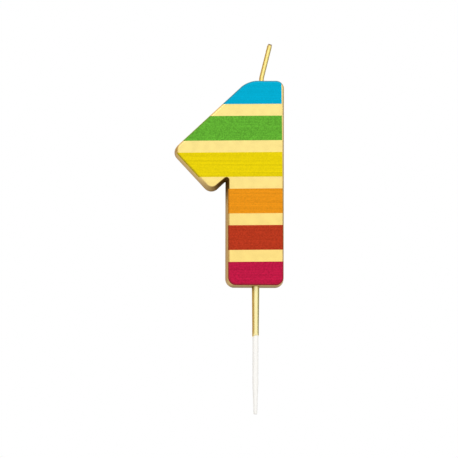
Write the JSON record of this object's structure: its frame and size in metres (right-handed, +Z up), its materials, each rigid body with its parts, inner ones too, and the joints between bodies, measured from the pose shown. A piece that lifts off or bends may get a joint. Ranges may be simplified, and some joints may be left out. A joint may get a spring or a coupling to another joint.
{
  "type": "number candle",
  "caption": "Flat wax numeral one candle with a gold coat, printed rainbow stripes across its face, a leaning wick on top and a plastic pick that stands it in a cake.",
  "frame": {"origin": "on the pick's axis where its gold neck meets the white spike, which is the top of the cake", "axes": "+Z up along the pick towards the wick, +X to the right seen from the printed face, +Y towards the plain back"},
  "size_m": [0.037, 0.0091, 0.1254],
  "materials": {
    "wax": "satin",
    "gold": "satin",
    "blue_print": "satin",
    "green_print": "satin",
    "yellow_print": "satin",
    "orange_print": "satin",
    "red_print": "satin",
    "magenta_print": "satin",
    "cotton": "matte",
    "white_plastic": "satin"
  },
  "bodies": {
    "pick": {"pick": "white_plastic", "pick_gold_coat": "gold"},
    "numeral": {"wax_numeral": "wax", "gold_coat": "gold", "blue_stripe": "blue_print", "green_stripe": "green_print", "yellow_stripe": "yellow_print", "orange_stripe": "orange_print", "red_stripe": "red_print", "magenta_stripe": "magenta_print", "wick_core": "cotton"},
    "wick": {"wick_end": "cotton", "wick_gold_coat": "gold"}
  },
  "joints": [
    {"name": "numeral_lift", "type": "slide", "parent": "pick", "child": "numeral", "axis": [0, 0, 1], "range_m": [0, 0.022]},
    {"name": "wick_bend", "type": "hinge", "parent": "numeral", "child": "wick", "pos_m": [0.00185, 0, 0.0872], "axis": [0, 1, 0], "range_deg": [-74, 46]}
  ]
}
